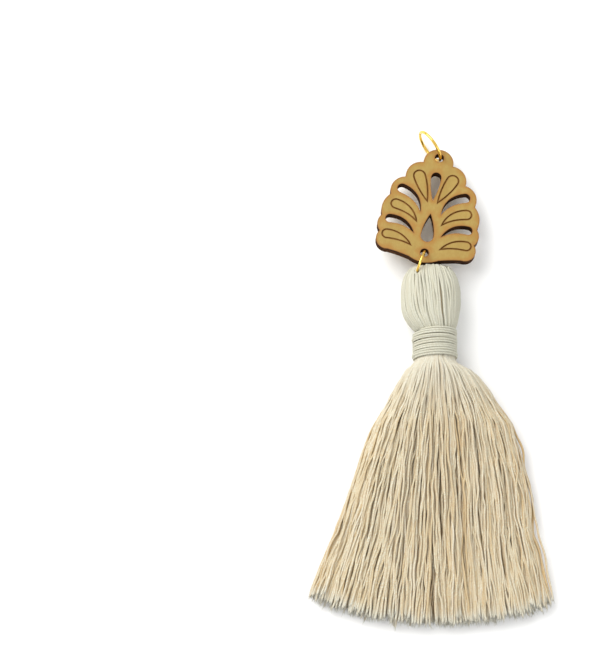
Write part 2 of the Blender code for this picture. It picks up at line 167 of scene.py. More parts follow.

# Cotton: colours of pale, middle and warm ends, of painted shade in deep places and of tips, share of
# painted shade on the sides
SKIRT_COTTON = {
    "pale": (0.65, 0.64, 0.535),
    "middle": (0.585, 0.56, 0.435),
    "warm": (0.535, 0.45, 0.29),
    "shade": (0.45, 0.265, 0.085),
    "sides": 0.5,
    "tip": (0.54, 0.555, 0.505),
}
HEAD_COTTON = {
    "pale": (0.54, 0.545, 0.465),
    "middle": (0.52, 0.515, 0.43),
    "warm": (0.495, 0.47, 0.365),
    "shade": (0.43, 0.395, 0.28),
    "sides": 0.15,
}
# The filler's browns: it stands in for the inner yarns, but is coloured darker and browner than the
# cotton as painted shade for the gaps between the yarns
CORE_PAINTED_SHADE_DARK = (0.50, 0.38, 0.20)
CORE_PAINTED_SHADE_LIGHT = (0.62, 0.50, 0.32)
GOLD = (0.90, 0.60, 0.13)
GOLD_WORN = (0.74, 0.44, 0.09)
# Plywood: bands of the face from dark to light, and what darkens them
WOOD_BANDS = (
    (0.3, (0.305, 0.207, 0.048)),
    (0.55, (0.338, 0.234, 0.058)),
    (0.8, (0.372, 0.264, 0.07)),
)
WOOD_FIBRE = (0.26, 0.155, 0.036)
WOOD_PORE = (0.30, 0.15, 0.035)
WOOD_MOTTLE = (0.27, 0.155, 0.028)
WOOD_SCORCH = (0.30, 0.135, 0.02)
WOOD_BESIDE_CUT = (0.22, 0.08, 0.015)
WOOD_BESIDE_LINE = (0.20, 0.08, 0.015)
EDGE_COLORS = ((0.020, 0.007, 0.002), (0.10, 0.038, 0.010))
GROOVE_COLORS = ((0.13, 0.052, 0.011), (0.24, 0.11, 0.026))

# Charm's triangle nets: spacing on the upper and the lower face, how far off a face's level a
# corner may be, how far off a face a net's point may be
NET_PITCH = (0.5, 0.9)
LEVEL = 0.01
NEAR = 0.02
# Rings: node, body, wire's radius
RINGS = (
    ("link_ring", TASSEL, 0.4),
    ("hanging_ring", CHARM, 0.5),
)
RING_SIDES = 14
RING_STEPS = 120
RING_HALF_GAP = 0.05

# Camera: degrees and metres, but its target, from the tassel's origin, in mm
CAMERA_ELEVATION = 77.0
CAMERA_AZIMUTH = 0.6
CAMERA_DISTANCE = 0.55
CAMERA_LENS = 93.5
CAMERA_TARGET = (-43.1, 9.2, 8.0)
# Lights: name, place, size, watts, colour
LIGHTS = (
    ("key", (-0.45, 0.35, 0.55), 0.7, 7.5, (1.0, 0.985, 0.96)),
    ("fill", (0.50, -0.45, 0.45), 0.6, 2.0, (0.96, 0.98, 1.0)),
)
# World's light from below to above: share of the height, colour
WORLD_COLORS = (
    (0.0, (0.30, 0.29, 0.28)),
    (0.45, (0.95, 0.96, 0.98)),
    (0.9, (1.0, 1.0, 1.0)),
)
WORLD_STRENGTH = 0.86
FLOOR_SIZE = 3.0

rng = np.random.default_rng(20)


# ---------------------------------------------------------------- meshes

def put_in_scene(name, data):
    made = bpy.data.objects.new(name, data)
    bpy.context.scene.collection.objects.link(made)
    return made


def new_object(name, verts, faces, material, attributes=None, smooth=True):
    """A mesh object from arrays, with one float attribute for each named array."""
    mesh = bpy.data.meshes.new(name)
    mesh.from_pydata(np.asarray(verts, dtype=np.float32), [], faces)
    mesh.polygons.foreach_set("use_smooth", [smooth] * len(mesh.polygons))
    for key, values in (attributes or {}).items():
        layer = mesh.attributes.new(key, "FLOAT", "POINT")
        layer.data.foreach_set("value", np.asarray(values, dtype=np.float32))
    mesh.materials.append(material)
    mesh.validate()
    return put_in_scene(name, mesh)


def unit(vectors):
    return vectors / np.maximum(np.linalg.norm(vectors, axis=-1, keepdims=True), 1e-9)


class Tubes:
    """Collects round yarns, all with the same number of sides, into one mesh.

    Its attributes: along, the way from the yarn's start in mm; to_end, the way left to its end;
    facing, 1 on the side that faces out of the bundle and -1 behind; beside, 1 and -1 at its
    sides; tint, a number of its own for each yarn; deep, the share of painted shade.
    """

    def __init__(self, sides):
        self.sides = sides
        self.verts = []
        self.faces = []
        names = ("along", "facing", "beside", "tint", "deep", "to_end")
        self.marks = {name: [] for name in names}
        self.count = 0

    def add(self, path, radii, outward, tint, deep):
        """path: points in mm in the tassel's own frame; radii and deep: one for each point.

        outward: the way out of the bundle, one vector or one for each point.
        """
        rings, sides = len(path), self.sides
        tangent = unit(np.gradient(path, axis=0))
        outward = np.broadcast_to(np.asarray(outward, float), path.shape)
        across = unit(np.cross(tangent, outward))
        up = np.cross(across, tangent)
        angles = np.arange(sides) * 2 * math.pi / sides
        spread = (across[:, None, :] * np.cos(angles)[None, :, None]
                  + up[:, None, :] * np.sin(angles)[None, :, None])
        points = path[:, None, :] + spread * np.asarray(radii)[:, None, None]
        self.verts.append(points.reshape(-1, 3))
        ring = np.arange(rings - 1)[:, None] * sides
        side = np.arange(sides)[None, :]
        after = (side + 1) % sides
        corners = [ring + side, ring + after, ring + sides + after, ring + sides + side]
        quads = np.stack(corners, axis=-1)
        self.faces += (quads.reshape(-1, 4) + self.count).tolist()
        first = list(range(self.count, self.count + sides))
        self.faces.append(first[::-1])
        last = self.count + (rings - 1) * sides
        self.faces.append(list(range(last, last + sides)))
        steps = np.linalg.norm(np.diff(path, axis=0), axis=1)
        along = np.concatenate([[0.0], np.cumsum(steps)])
        self.marks["along"].append(np.repeat(along, sides))
        self.marks["facing"].append(np.tile(np.sin(angles), rings))
        self.marks["beside"].append(np.tile(np.cos(angles), rings))
        self.marks["tint"].append(np.full(rings * sides, tint))
        self.marks["deep"].append(np.repeat(np.broadcast_to(deep, (rings,)), sides))
        self.marks["to_end"].append(np.repeat(along[-1] - along, sides))
        self.count += rings * sides

    def make(self, name, material):
        verts = np.concatenate(self.verts) * MM + np.array(BASE)
        marks = {key: np.concatenate(values) for key, values in self.marks.items()}
        return new_object(name, verts, self.faces, material, marks)


# ---------------------------------------------------------------- node materials

def node_material(name):
    made = bpy.data.materials.new(name)
    made.use_nodes = True
    tree = made.node_tree
    return made, tree, tree.nodes["Principled BSDF"]


class Nodes:
    """Short names for the shader nodes that the materials share."""

    def __init__(self, tree):
        self.tree = tree

    def link(self, source, target):
        self.tree.links.new(source, target)

    def attribute(self, name, output="Fac"):
        node = self.tree.nodes.new("ShaderNodeAttribute")
        node.attribute_name = name
        return node.outputs[output]

    def math(self, operation, a, b=0.0, c=0.0):
        node = self.tree.nodes.new("ShaderNodeMath")
        node.operation = operation
        for socket, value in zip(node.inputs, (a, b, c)):
            self.set(socket, value)
        return node.outputs[0]

    def set(self, socket, value):
        if isinstance(value, bpy.types.NodeSocket):
            self.link(value, socket)
        elif isinstance(value, tuple) and len(value) == 3 and socket.type == "RGBA":
            socket.default_value = (*value, 1.0)
        else:
            socket.default_value = value

    def range(self, value, low, high, to_low=0.0, to_high=1.0):
        node = self.tree.nodes.new("ShaderNodeMapRange")
        node.interpolation_type = "SMOOTHSTEP"
        for key, item in (("Value", value), ("From Min", low), ("From Max", high),
                          ("To Min", to_low), ("To Max", to_high)):
            self.set(node.inputs[key], item)
        return node.outputs["Result"]

    def mix(self, share, a, b):
        node = self.tree.nodes.new("ShaderNodeMix")
        node.data_type = "RGBA"
        self.set(node.inputs[0], share)
        self.set(node.inputs[6], a)
        self.set(node.inputs[7], b)
        return node.outputs[2]

    def vector(self, *parts):
        node = self.tree.nodes.new("ShaderNodeCombineXYZ")
        for socket, value in zip(node.inputs, parts):
            self.set(socket, value)
        return node.outputs[0]

    def stretch(self, parts, scales):
        """A vector of two or three parts, each times its own scale."""
        return self.vector(*(self.math("MULTIPLY", part, scale) for part, scale in zip(parts, scales)))

    def split(self, vector):
        node = self.tree.nodes.new("ShaderNodeSeparateXYZ")
        self.link(vector, node.inputs[0])
        return node.outputs

    def noise(self, vector, scale, detail=2.0, roughness=0.5):
        node = self.tree.nodes.new("ShaderNodeTexNoise")
        self.link(vector, node.inputs["Vector"])
        node.inputs["Scale"].default_value = scale
        node.inputs["Detail"].default_value = detail
        node.inputs["Roughness"].default_value = roughness
        return node.outputs["Fac"]

    def ramp(self, value, *stops):
        node = self.tree.nodes.new("ShaderNodeValToRGB")
        elements = node.color_ramp.elements
        for place, _ in stops[2:]:
            elements.new(place)
        for element, (place, color) in zip(elements, stops):
            element.position = place
            element.color = (*color, 1.0)
        self.link(value, node.inputs[0])
        return node.outputs["Color"]

    def bump(self, height, strength, distance_mm):
        node = self.tree.nodes.new("ShaderNodeBump")
        node.inputs["Strength"].default_value = strength
        node.inputs["Distance"].default_value = distance_mm * MM
        self.link(height, node.inputs["Height"])
        return node.outputs["Normal"]


def cotton(name, pale, middle, warm, shade, sides, tip=None):
    """Twisted cotton yarn. pale, middle and warm are the ends' colours, shade that of deep places.

    sides: how much painted shade the yarns' sides take, those turned away from the outside of the
    bundle.
    shade: the colour of the painted shade on deep yarns, on these sides and in the grooves between the
    plies; random flecks turn towards it too.
    tip: the colour that the yarn turns to over its first 30 mm and at its cut end.
    """
    made, tree, shader = node_material(name)
    n = Nodes(tree)
    along = n.attribute("along")
    facing = n.attribute("facing")
    beside = n.attribute("beside")
    around = n.math("DIVIDE", n.math("ARCTAN2", facing, beside), 2 * math.pi)
    tint = n.attribute("tint")
    deep = n.attribute("deep")
    color = n.ramp(tint, (0.0, pale), (0.5, middle), (1.0, warm))
    patch = n.noise(n.stretch((tint, along), (91.0, 0.09)), 1.0, 3.0)
    color = n.mix(n.range(patch, 0.45, 0.75, 0.0, 0.45), color, warm)
    slip = n.noise(n.stretch((along, tint), (0.12, 53.0)), 1.0)
    turn = n.math("ADD", n.math("DIVIDE", along, PLY_PITCH), around)
    turn = n.math("ADD", turn, n.math("MULTIPLY_ADD", tint, 37.0, n.math("MULTIPLY", slip, 6.0)))
    ply = n.math("SINE", n.math("MULTIPLY", turn, PLIES * 2 * math.pi))
    wrapped = n.vector(n.math("MULTIPLY_ADD", beside, 1.6, n.math("MULTIPLY", tint, 77.0)),
                       n.math("MULTIPLY", facing, 1.6), n.math("MULTIPLY", along, 2.2))
    fleck = n.noise(wrapped, 1.0, 3.0, 0.6)
    # Towards the shade colour: painted shade in the grooves between the plies, random flecks, painted
    # shade on the sides turned away from the outside of the bundle and on deep yarns
    groove = n.range(ply, -1.0, 0.1, 1.0, 0.0)
    color = n.mix(n.math("MULTIPLY", groove, 0.30), color, shade)
    color = n.mix(n.range(fleck, 0.36, 0.6, 0.42, 0.0), color, shade)
    color = n.mix(n.range(facing, 0.75, -0.35, 0.0, sides), color, shade)
    color = n.mix(n.math("MULTIPLY", deep, 0.6), color, shade)
    if tip:
        color = n.mix(n.range(along, 4.0, 30.0, 0.45, 0.0), color, tip)
        color = n.mix(n.range(n.attribute("to_end"), 0.0, 4.0, 0.55, 0.0), color, tip)
    n.link(color, shader.inputs["Base Color"])
    height = n.math("MULTIPLY_ADD", ply, 0.5, n.math("MULTIPLY", fleck, 0.9))
    n.link(n.bump(height, 0.6, 0.09), shader.inputs["Normal"])
    shader.inputs["Roughness"].default_value = 0.9
    shader.inputs["Specular IOR Level"].default_value = 0.1
    shader.inputs["Sheen Weight"].default_value = 0.08
    shader.inputs["Sheen Roughness"].default_value = 0.5
    return made


def core_material():
    made, tree, shader = node_material("yarn_inside_painted_shade")
    n = Nodes(tree)
    place = tree.nodes.new("ShaderNodeTexCoord").outputs["Object"]
    lines = n.noise(n.stretch(n.split(place), (900.0, 40.0, 1.0)), 1.0, 3.0)
    # Painted shade: the filler's streaks in browns darker than the cotton, seen through the gaps
    # between the yarns
    color = n.ramp(lines, (0.3, CORE_PAINTED_SHADE_DARK), (0.7, CORE_PAINTED_SHADE_LIGHT))
    n.link(color, shader.inputs["Base Color"])
    n.link(n.bump(lines, 0.6, 0.3), shader.inputs["Normal"])
    shader.inputs["Roughness"].default_value = 0.95
    return made


def gold_material():
    made, tree, shader = node_material("gold_wire_plated")
    n = Nodes(tree)
    place = tree.nodes.new("ShaderNodeTexCoord").outputs["Object"]
    wear = n.noise(place, 900.0, 3.0)
    color = n.mix(n.range(wear, 0.5, 0.8), GOLD, GOLD_WORN)
    n.link(color, shader.inputs["Base Color"])
    n.link(n.range(wear, 0.3, 0.8, 0.14, 0.30), shader.inputs["Roughness"])
    shader.inputs["Metallic"].default_value = 1.0
    n.link(n.bump(n.noise(place, 2500.0), 0.15, 0.02), shader.inputs["Normal"])
    return made


def wood_face_material():
    """Plywood's face: grain along the charm, scorched near the cuts and the engraved lines."""
    made, tree, shader = node_material("plywood_face")
    n = Nodes(tree)
    plate = n.split(n.attribute("plate", "Vector"))
    cut = n.attribute("cut_mm")
    line = n.attribute("line_mm")
    bands = n.noise(n.stretch(plate, (0.35, 0.06, 1.0)), 1.0, 3.0)
    fibres = n.noise(n.stretch(plate, (5.0, 0.35, 1.0)), 1.0, 4.0, 0.65)
    pores = n.noise(n.stretch(plate, (9.0, 1.0, 1.0)), 1.0, 1.0)
    mottle = n.noise(n.stretch(plate, (1.1, 0.8, 1.0)), 1.0, 4.0, 0.6)
    blotch = n.noise(n.stretch(plate, (0.3, 0.3, 1.0)), 1.0, 3.0)
    color = n.ramp(bands, *WOOD_BANDS)
    color = n.mix(n.range(fibres, 0.35, 0.7, 0.25, 0.0), color, WOOD_FIBRE)
    color = n.mix(n.range(pores, 0.68, 0.76, 0.0, 0.25), color, WOOD_PORE)
    color = n.mix(n.range(mottle, 0.40, 0.62, 0.24, 0.0), color, WOOD_MOTTLE)
    near = n.math("SUBTRACT", cut, n.math("MULTIPLY_ADD", blotch, 5.0, -2.4))
    color = n.mix(n.range(near, -0.3, 2.0, 0.7, 0.0), color, WOOD_SCORCH)
    color = n.mix(n.range(cut, 0.0, 0.5, 0.7, 0.0), color, WOOD_BESIDE_CUT)
    color = n.mix(n.range(line, 0.0, 0.3, 0.5, 0.0), color, WOOD_BESIDE_LINE)
    n.link(color, shader.inputs["Base Color"])
    n.link(n.bump(fibres, 0.12, 0.05), shader.inputs["Normal"])
    n.link(n.range(fibres, 0.3, 0.7, 0.62, 0.5), shader.inputs["Roughness"])
    shader.inputs["Specular IOR Level"].default_value = 0.35
    return made


def burnt_material(name, dark, light):
    """Wood that the laser has burnt, streaked from face to face."""
    made, tree, shader = node_material(name)
    n = Nodes(tree)
    plate = n.split(n.attribute("plate", "Vector"))
    plies = n.noise(n.stretch(plate, (0.3, 0.3, 2.2)), 1.0)
    streaks = n.noise(n.stretch(plate, (6.0, 6.0, 0.6)), 1.0)
    share = n.math("MULTIPLY", n.range(plies, 0.4, 0.65), n.range(streaks, 0.3, 0.7, 0.3, 1.0))
    n.link(n.mix(share, dark, light), shader.inputs["Base Color"])
    n.link(n.bump(streaks, 0.5, 0.08), shader.inputs["Normal"])
    shader.inputs["Roughness"].default_value = 0.9
    shader.inputs["Specular IOR Level"].default_value = 0.1
    return made


# ---------------------------------------------------------------- skirt

def skirt_at(distance):
    """Reach left and right, top, bottom and power of the skirt's section."""
    return [np.interp(distance, SKIRT_ROWS[:, 0], SKIRT_ROWS[:, column]) for column in range(1, 6)]


def lock_edges():
    """Edges of the uneven locks across the skirt, from -1 to 1."""
    widths = rng.uniform(*LOCK_WIDTHS, LOCKS)
    edges = np.concatenate([[0.0], np.cumsum(widths)])
    return edges / edges[-1] * 2 - 1


def lock_pull(place, edges):
    """Offset from a place to the middle of its lock."""
    index = np.clip(np.searchsorted(edges, place) - 1, 0, len(edges) - 2)
    return (edges[index] + edges[index + 1]) / 2 - place


def tip_length(place):
    """Length of the skirt at a place from -1, its left edge, to 1."""
    return SKIRT_LENGTH * (1.0 - 0.10 * max(0.0, -place) ** 2.2 - 0.085 * max(0.0, place) ** 2.4)


def rough_line(distance, step, size):
    """Smooth random offsets along a yarn: a cubic curve through a random value at every step."""
    knots = np.arange(distance[0] - 2 * step, distance[-1] + 3 * step, step)
    values = rng.normal(0, size, len(knots))
    place = (distance - knots[0]) / step
    index = np.clip(place.astype(int), 1, len(knots) - 3)
    part = place - index
    before, start, end, after = (values[index + shift] for shift in (-1, 0, 1, 2))
    cube = 3 * (start - end) + after - before
    square = 2 * before - 5 * start + 4 * end - after
    return start + 0.5 * part * (end - before + part * (square + part * cube))


def bends(distance, rows):
    return sum(rough_line(distance, step, size) for step, size in rows)


def strand_path(place, level, edges, points):
    """One end of yarn from inside the winding to its cut tip, in mm.

    place: across the skirt, from -1 to 1. level: 0 at the skirt's underside, 1 on its top.
    """
    length = tip_length(place) * (1 + rng.normal(0, 0.009)) + 0.4
    distance = np.linspace(SKIRT_START, length, points)
    distance[-TAPER_RINGS:] = distance[-1] - np.array(TAPER_AT)
    free = np.clip(distance / 12.0, 0, 1)
    out = np.clip(distance / SKIRT_LENGTH, 0, 1)
    # Across the skirt: a yarn strays, and its tip is gathered to the middle of its lock
    wander = rng.normal(0, 0.045) * out ** 1.2
    gathered = np.clip((distance - 25) / 55, 0, 1) ** 1.6
    bunch = lock_pull(place, edges) * rng.uniform(0.2, 0.95) * gathered
    left, right, top, bottom, power = skirt_at(distance)
    spot = np.clip(place + wander + bunch, *SPOT_LIMITS)
    at = np.clip(spot, -1.0, 1.0)
    reach = np.where(at < 0, left, right) - YARN
    # Up and down: the section is round above and flatter below, and full near the winding
    middle = bottom + (top - bottom) * 0.45
    round_share = (1 - np.abs(at) ** power) ** (1 / power)
    upper = (top - YARN - middle) * round_share
    flat_power = power + 1.2
    lower = (middle - bottom - YARN) * (1 - np.abs(at) ** flat_power) ** (1 / flat_power)
    packed = 1 - (1 - level) * np.interp(distance, (0.0, 8.0, 35.0), (0.40, 0.55, 1.0))
    height = middle - lower + (upper + lower) * (packed if level > 0.5 else level)
    sway = bends(distance, SWAY)
    lift = bends(distance, LIFT)
    height = np.maximum(height + lift * free, YARN * 1.2)
    x = spot * reach + sway * free
    # Inside the winding all yarns are squeezed into the neck
    inside = np.clip(1 - distance / 3.0, 0, 1)
    squeeze = np.hypot(x, height - AXIS_HEIGHT) / NECK_RADIUS
    shrink = 1 + (1 / np.maximum(squeeze, 1) - 1) * inside
    x = x * shrink
    height = AXIS_HEIGHT + (height - AXIS_HEIGHT) * shrink
    return np.stack([x, -distance, height], axis=-1)


def out_of_skirt(path):
    """The way out of the skirt at each point of a yarn: up near the middle, sideways at the edges."""
    left, right, top, bottom, _ = skirt_at(-path[:, 1])
    across = path[:, 0] / np.where(path[:, 0] < 0, left, right)
    rise = (path[:, 2] - (top + bottom) / 2) / np.maximum((top - bottom) / 2, 0.5)
    return unit(np.stack([across * np.abs(across), np.full(len(path), 0.02), rise + 0.35], axis=-1))


def make_skirt(material):
    edges = lock_edges()
    made = []
    tips = []
    for name, count, low, high, points in SKIRT_LAYERS:
        tubes = Tubes(YARN_SIDES)
        for index in range(count):
            even = (index + rng.uniform(0, 1)) / count
            crowded = -math.cos(even * math.pi)
            place = (even * 2 - 1) * (1 - EDGE_CROWDING) + crowded * EDGE_CROWDING
            level = rng.uniform(low, high)
            path = strand_path(place, level, edges, points)
            radius = YARN * rng.uniform(0.86, 1.1)
            radii = radius * np.interp(-path[:, 1], (0.0, 6.0, 26.0), (0.86, 0.9, 1.0))
            radii *= 1 + rough_line(-path[:, 1], 2.2, 0.05)
            radii[-TAPER_RINGS:] *= TAPER
            tint = np.clip(rng.normal(0.42, 0.25), 0, 1)
            # Painted shade: yarns lower in the skirt take more of it, and less within about 8 mm of
            # the winding
            deep = np.clip((0.92 - level) * 1.1, 0, 0.6) * np.clip(path[:, 1] / -14, 0.6, 1)
            tubes.add(path, radii, out_of_skirt(path), tint, deep)
            tips.append((path[-1], unit(path[-1] - path[-6]), radius, tint))
        made.append(tubes.make(name, material))
    return made, tips


def make_frays(tips, material):
    """Loose fibres at the cut ends."""
    hairs = Tubes(3)
    steps = np.linspace(0, 1, len(FRAY_RADII))[:, None]
    for end, direction, radius, tint in tips:
        for _ in range(rng.integers(*FRAYS)):
            start = end + rng.normal(0, 0.4, 3) * radius * np.array([1, 0.3, 1]) - direction * 0.6
            length = rng.uniform(*FRAY_LENGTHS)
            way = unit(direction + rng.normal(0, 0.2, 3))
            curl = rng.normal(0, 0.3, 3)
            path = start + way * length * steps + curl * length * steps ** 2 * 0.5
            path[:, 2] = np.maximum(path[:, 2], FRAY_RADII[0])
            hairs.add(path, FRAY_RADII, (0.2, 0.1, 1.0), tint, 0.0)
    return hairs.make("frayed_ends", material)


# ---------------------------------------------------------------- head

def head_at(distance):
    """Half width and half height of the head's section."""
    if distance <= HEAD_WIDE_AT:
        return [np.interp(distance, HEAD_ROWS[:, 0], HEAD_ROWS[:, column]) for column in (1, 2)]
    rise = min(1.0, (distance - HEAD_WIDE_AT) / HEAD_DOME)
    width = HEAD_ROWS[-1, 1] * (1 - rise ** DOME_PLAN_POWER) ** (1 / DOME_PLAN_POWER)
    height = HEAD_ROWS[-1, 2] * (1 - rise ** DOME_SIDE_POWER) ** (1 / DOME_SIDE_POWER)
    return width, height


def head_side(start_angle, sign, inset, drift, wave):
    """Half a loop of yarn, from the winding to the top of the head.

    start_angle: place around the neck. sign: 1 for the front, -1 for the back. inset: depth below
    the envelope. drift: how far the yarn leans round the head. wave: size, length and start of
    its sideways bends.
    """
    bend, bend_length, bend_start = wave
    whole = HEAD_WIDE_AT + HEAD_DOME
    top = whole - inset
    widest = HEAD_ROWS[-1, 1]
    share = math.cos(start_angle)
    closing = 0.55 + 0.43 * share * share
    points = []
    for angle in np.linspace(0.0, math.pi / 2, 36):
        distance = HEAD_START + (top - HEAD_START) * math.sin(angle)
        width, height = head_at(distance / top * whole)
        width, height = max(width - inset, 0.0), max(height - inset, 0.0)
        spread = (width / (widest - inset)) ** (closing if distance > HEAD_WIDE_AT else 1.0)
        x = share * (widest - inset) * spread
        if width < 1e-6 or abs(x) >= width:
            break
        around = math.acos(x / width)
        low = 1 - min(1.0, (distance - HEAD_START) / 20.0)
        turned = drift * low + bend * math.sin(distance / bend_length + bend_start)
        around -= turned * math.sin(around)
        shift = HEAD_SHIFT * np.clip((distance - 10.0) / 4.0, 0, 1)
        points.append((math.cos(around) * width + shift, distance,
                       AXIS_HEIGHT + sign * math.sin(around) * height))
    return points


def keep_inside(path, radius, tree):
    """Move a yarn's points in, so that it stays inside the head and off the ring and charm."""
    moved = []
    for point in path:
        if point[1] < HEAD_FREE:
            moved.append(Vector(point))
            continue
        place = Vector(point) * MM + BASE
        for _ in range(3):
            near, normal, _, gap = tree.find_nearest(place)
            inside = (place - near).dot(normal) < 0
            if inside and gap >= radius * MM * 0.98:
                break
            place = near - normal * radius * MM
        moved.append((place - BASE) / MM)
    return np.array([tuple(point) for point in moved])


def smooth_path(path, times):
    for _ in range(times):
        path[1:-1] = path[1:-1] * 0.5 + (path[:-2] + path[2:]) * 0.25
    return path


def cad_tree(name):
    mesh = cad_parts[name].data
    points = [vert.co.copy() for vert in mesh.vertices]
    return BVHTree.FromPolygons(points, [tuple(face.vertices) for face in mesh.polygons])


def make_head(material):
    tree = cad_tree("yarn_bundle")
    middle = np.array([HEAD_SHIFT, 16.0, AXIS_HEIGHT])
    pieces = []
    for name, loops, inset, radius, deep in HEAD_LAYERS:
        tubes = Tubes(YARN_SIDES)
        for index in range(loops):
            angle = math.pi * (index + 0.5 + rng.uniform(-0.4, 0.4)) / loops
            wave = (rng.normal(0, 0.024), rng.uniform(1.8, 4.5), rng.uniform(0, 6.28))
            drift = 0.26 + rng.normal(0, 0.05)
            depth = inset + rng.uniform(-0.02, 0.30)
            front = head_side(angle, 1, depth, drift, wave)
            back = head_side(angle, -1, depth, drift, wave)
            path = smooth_path(np.array(front + back[::-1]), 2)
            path = smooth_path(keep_inside(path, radius, tree), 2)
            path = keep_inside(path, radius, tree)
            tint = np.clip(rng.normal(0.4, 0.2), 0, 1)
            radii = radius * (1 + rough_line(np.arange(len(path), dtype=float), 2.0, 0.05))
            tubes.add(path, radii, unit(path - middle), tint, deep)
        pieces.append(tubes.make(name, material))
    return pieces


def make_core(material):
    """What fills the yarn's inside: the frame's own solid, drawn in a little."""
    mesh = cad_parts["yarn_bundle"].data.copy()
    mesh.name = "yarn_core"
    shape = bmesh.new()
    shape.from_mesh(mesh)
    bmesh.ops.remove_doubles(shape, verts=shape.verts, dist=1e-6)
    shape.normal_update()
    head_middle = BASE + Vector((HEAD_SHIFT, CORE_HEAD_MIDDLE, AXIS_HEIGHT)) * MM
    for vert in shape.verts:
        out = (BASE.y - vert.co.y) / MM
        if out < -CORE_HEAD_FROM:
            vert.co = head_middle.lerp(vert.co, CORE_HEAD_SCALE)
            vert.co.y = min(vert.co.y, BASE.y + CORE_HEAD_TOP * MM)
            continue
        vert.co -= vert.normal * np.interp(out, CORE_INSETS[:, 0], CORE_INSETS[:, 1]) * MM
        if out > 0:
            vert.co.y += CORE_SHORTER * out * MM
            vert.co.x = BASE.x + (vert.co.x - BASE.x) * (1 - CORE_NARROWER * out)
    shape.to_mesh(mesh)
    shape.free()
    mesh.materials.clear()
    mesh.materials.append(material)
    return put_in_scene("yarn_core", mesh)


# ---------------------------------------------------------------- winding

def wound_path(turn_from, turn_to, along, ring):
    """A yarn wound round the neck; along and ring are arrays over the winding's share."""
    share = np.linspace(0, 1, len(along))
    angle = (turn_from + (turn_to - turn_from) * share) * 2 * math.pi
    path = np.stack([ring * np.cos(angle), along, AXIS_HEIGHT + ring * np.sin(angle)], axis=-1)
    path[:, 1] += path[:, 0] * math.tan(math.radians(WRAP_SLANT)) + 0.35 * np.sin(angle)
    outward = np.stack([np.cos(angle), np.zeros(len(angle)), np.sin(angle)], axis=-1)
    return path, outward


def make_winding(material):
    """The neck's turns of yarn, with a few that cross over the others."""
    tubes = Tubes(8)
    share = np.linspace(0, 1, int(WRAP_TURNS * 48))
    turn = share * WRAP_TURNS
    along = WRAP_YARN + (WRAP_LENGTH - 2 * WRAP_YARN - 0.3) * share
    along += rough_line(turn, 0.45, 0.07) * np.minimum(1, 10 * share * (1 - share))
    shown = np.clip(np.minimum(share, 1 - share) * WRAP_TURNS * 5, 0, 1)
    ring = WRAP_RADIUS - WRAP_SINK - WRAP_YARN + rough_line(turn, 0.37, 0.07) - (1 - shown) * 0.9
    path, outward = wound_path(0.8, 0.8 + WRAP_TURNS, along, ring)
    tubes.add(path, WRAP_YARN * (1 + rough_line(turn, 0.2, 0.04)), outward, 0.3, 0.0)
    for first, last, start, stop, lift in WRAP_CROSSINGS:
        share = np.linspace(0, 1, 70)
        ease = np.clip(np.minimum(share, 1 - share) * 7, 0, 1)
        ease = ease * ease * (3 - 2 * ease)
        ring = WRAP_RADIUS - WRAP_YARN - WRAP_SINK + lift * ease - 0.8 * (1 - ease)
        path, outward = wound_path(start, stop, first + (last - first) * share, ring)
        radii = np.full(len(share), WRAP_YARN * 0.95)
        tubes.add(path, radii, outward, rng.uniform(0.1, 0.6), 0.0)
    return tubes.make("neck_winding", material)


# ---------------------------------------------------------------- rings

def make_ring(node, name, wire, material):
    """A fine round jump ring on the frame's ring, with its butt joint in the same place."""
    points = np.array([vert.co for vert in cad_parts[node].data.vertices])
    centre = points.mean(0)
    _, _, axes = np.linalg.svd(points - centre, full_matrices=False)
    normal = axes[2]
    flat = points - centre - np.outer((points - centre) @ normal, normal)
    reach = np.linalg.norm(flat, axis=1)
    radius = (reach.max() + reach.min()) / 2
    angles = np.arctan2(flat @ axes[1], flat @ axes[0])
    ordered = np.sort(np.unique(np.round(angles, 4)))
    gaps = np.diff(np.concatenate([ordered, [ordered[0] + 2 * math.pi]]))
    split = ordered[int(np.argmax(gaps))] + gaps.max() / 2
    half_gap = RING_HALF_GAP * MM / radius
    turn = split + half_gap + np.linspace(0, 1, RING_STEPS) * (2 * math.pi - 2 * half_gap)
    path = centre + radius * (np.outer(np.cos(turn), axes[0]) + np.outer(np.sin(turn), axes[1]))
    tubes = Tubes(RING_SIDES)
    local = (path - np.array(BASE)) / MM
    tubes.add(local, np.full(RING_STEPS, wire), tuple(normal), 0.5, 0.0)
    return tubes.make(name, material)


# ---------------------------------------------------------------- charm

def plate_axes(mesh):
    """The charm's own axes: u across, v towards the hanging ring, t out of its upper face."""
    up = Vector((0.0, 0.0, 0.0))
    for face in mesh.polygons:
        if face.normal.z > 0.9:
            up += face.normal * face.area
    up.normalize()
    across = Vector((up.y, -up.x, 0.0)).normalized()
    along = up.cross(across)
    return Matrix((across, along, up))


def flat_region(points, faces, height):
    """Faces of one level, and their boundary as pairs of point numbers."""
    level = [face for face in faces if all(abs(points[i].z - height) < LEVEL for i in face)]
    seen = {}
    for face in level:
        for a, b in zip(face, face[1:] + face[:1]):
            key = (min(a, b), max(a, b))
            seen[key] = seen.get(key, 0) + 1
    return level, [key for key, times in seen.items() if times == 1]


